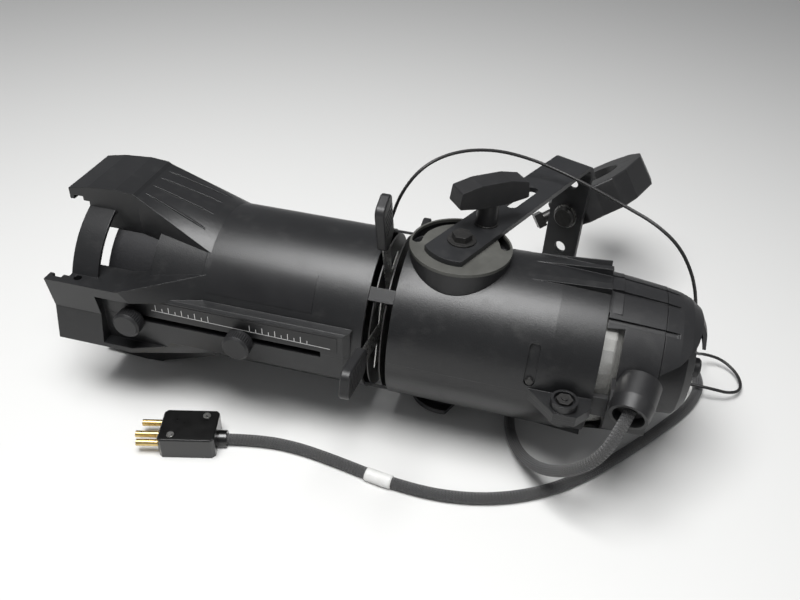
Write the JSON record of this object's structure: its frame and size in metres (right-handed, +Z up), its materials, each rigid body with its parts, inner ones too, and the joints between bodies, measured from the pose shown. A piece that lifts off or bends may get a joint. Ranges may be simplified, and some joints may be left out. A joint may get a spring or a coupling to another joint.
{
  "type": "ellipsoidal spotlight",
  "caption": "Zoom ellipsoidal profile spotlight with sliding lenses, framing shutters, tilting yoke and C-clamp, lying on its side with its lead and safety cable.",
  "frame": {"origin": "middle of the spotlight's footprint, leads left out, on the surface it lies on", "axes": "+X runs along the optical axis from the front lens to the lamp end, +Z is up, +Y points to the side that the yoke swings to"},
  "size_m": [0.6403, 0.4706, 0.2389],
  "materials": {
    "black_casting": "black satin powder coat with a fine pebble texture",
    "yoke_paint": "black satin paint, worn at the edges",
    "clamp_paint": "black painted iron casting",
    "friction_steel": "turned grey steel",
    "black_screw": "black oxide",
    "bright_steel": "bright stainless",
    "lens_glass": "clear polished",
    "black_fitting": "black anodised",
    "black_plastic": "moulded, fine matt",
    "label": "dark blank label",
    "scale": "black with a white scale",
    "reflector_glass": "faceted bright reflector",
    "ceramic": "glazed ceramic",
    "lamp_metal": "finned lamp base",
    "lamp_glass": "clear quartz",
    "cord_sleeve": "braided sleeve",
    "cable_coat": "black coated wire rope",
    "plug_plastic": "glossy moulded",
    "brass": "polished"
  },
  "bodies": {
    "root": {"lens_tube_upper": "black_casting", "lens_tube_lower": "black_casting", "label_plate": "label", "focus_scale_plate": "scale", "gate_front_plate": "bright_steel", "gate_rear_plate": "bright_steel", "reflector_housing_upper": "black_casting", "reflector_housing_lower": "black_casting", "housing_screws": "black_screw", "recess_screw": "black_screw", "pivot_boss_upper": "black_casting", "friction_disc": "friction_steel", "pivot_boss_lower": "black_casting", "pivot_bolt_upper": "black_screw", "pivot_bolt_lower": "black_screw", "pivot_washer_upper": "black_screw", "pivot_washer_lower": "black_screw", "reflector": "reflector_glass", "reflector_ring": "bright_steel", "lamp_housing": "black_casting", "rear_hood": "black_casting", "lamp_cap": "black_casting", "lamp_socket": "ceramic", "lamp_base": "lamp_metal", "lamp_glass": "lamp_glass", "lamp_cap_knob": "black_plastic", "cable_gland": "black_plastic", "power_cord": "cord_sleeve", "safety_cable": "cable_coat", "cable_ferrule_start": "bright_steel", "cable_eye_start": "cable_coat", "cable_ferrule_far": "bright_steel", "cable_eye_far": "cable_coat", "plug_body": "plug_plastic", "plug_pins": "brass", "plug_screws": "bright_steel"},
    "front_lens_set": {"front_lens_carriage": "black_fitting", "front_lens": "lens_glass", "front_lens_ring": "black_fitting"},
    "rear_lens_set": {"rear_lens_carriage": "black_fitting", "rear_lens": "lens_glass", "rear_lens_ring": "black_fitting"},
    "front_knob": {"front_focus_knob": "black_plastic"},
    "rear_knob": {"rear_focus_knob": "black_plastic"},
    "yoke": {"yoke": "yoke_paint", "tilt_lock_washer": "black_screw", "tilt_lock_nut": "bright_steel"},
    "tilt_lock": {"tilt_lock_handle": "black_plastic"},
    "clamp": {"clamp_body": "clamp_paint", "clamp_yoke_bolt": "black_screw", "clamp_washers": "bright_steel"},
    "pipe_bolt": {"clamp_pipe_bolt": "black_screw"},
    "shutter_top": {"shutter_blade_top": "bright_steel", "shutter_handle_top": "black_plastic"},
    "shutter_near": {"shutter_blade_near": "bright_steel", "shutter_handle_near": "black_plastic"},
    "shutter_bottom": {"shutter_blade_bottom": "bright_steel", "shutter_handle_bottom": "black_plastic"},
    "shutter_far": {"shutter_blade_far": "bright_steel", "shutter_handle_far": "black_plastic"}
  },
  "joints": [
    {"name": "front_lens_focus", "type": "slide", "parent": "root", "child": "front_lens_set", "axis": [1, 0, 0], "range_m": [0, 0.04]},
    {"name": "rear_lens_focus", "type": "slide", "parent": "root", "child": "rear_lens_set", "axis": [1, 0, 0], "range_m": [-0.008, 0.06]},
    {"name": "front_knob_turn", "type": "hinge", "parent": "front_lens_set", "child": "front_knob", "pos_m": [-0.20935, -0.1674, 0.098], "axis": [0, 1, 0], "range_deg": [0, 360]},
    {"name": "rear_knob_turn", "type": "hinge", "parent": "rear_lens_set", "child": "rear_knob", "pos_m": [-0.10635, -0.1674, 0.098], "axis": [0, 1, 0], "range_deg": [0, 360]},
    {"name": "yoke_tilt", "type": "hinge", "parent": "root", "child": "yoke", "pos_m": [0.06565, -0.0824, 0.098], "axis": [0, 0, 1], "range_deg": [-34, 34]},
    {"name": "tilt_lock_turn", "type": "hinge", "parent": "yoke", "child": "tilt_lock", "pos_m": [0.08111, -0.04769, 0.198], "axis": [0, 0, 1], "range_deg": [0, 360]},
    {"name": "clamp_swivel", "type": "hinge", "parent": "yoke", "child": "clamp", "pos_m": [0.15188, 0.11127, 0.11775], "axis": [0.4067, 0.9135, 0], "continuous": true},
    {"name": "pipe_bolt_feed", "type": "slide", "parent": "clamp", "child": "pipe_bolt", "axis": [0.7966, 0.4193, 0.4353], "range_m": [-0.004, 0.012]},
    {"name": "shutter_top_slide", "type": "slide", "parent": "root", "child": "shutter_top", "axis": [0, -0.309, 0.9511], "range_m": [-0.02, 0.01]},
    {"name": "shutter_near_slide", "type": "slide", "parent": "root", "child": "shutter_near", "axis": [0, -0.9703, 0.2419], "range_m": [-0.03, 0]},
    {"name": "shutter_bottom_slide", "type": "slide", "parent": "root", "child": "shutter_bottom", "axis": [0, 0.866, -0.5], "range_m": [0, 0.03]},
    {"name": "shutter_far_slide", "type": "slide", "parent": "root", "child": "shutter_far", "axis": [0, 0.9877, 0.1564], "range_m": [0, 0.03]}
  ]
}
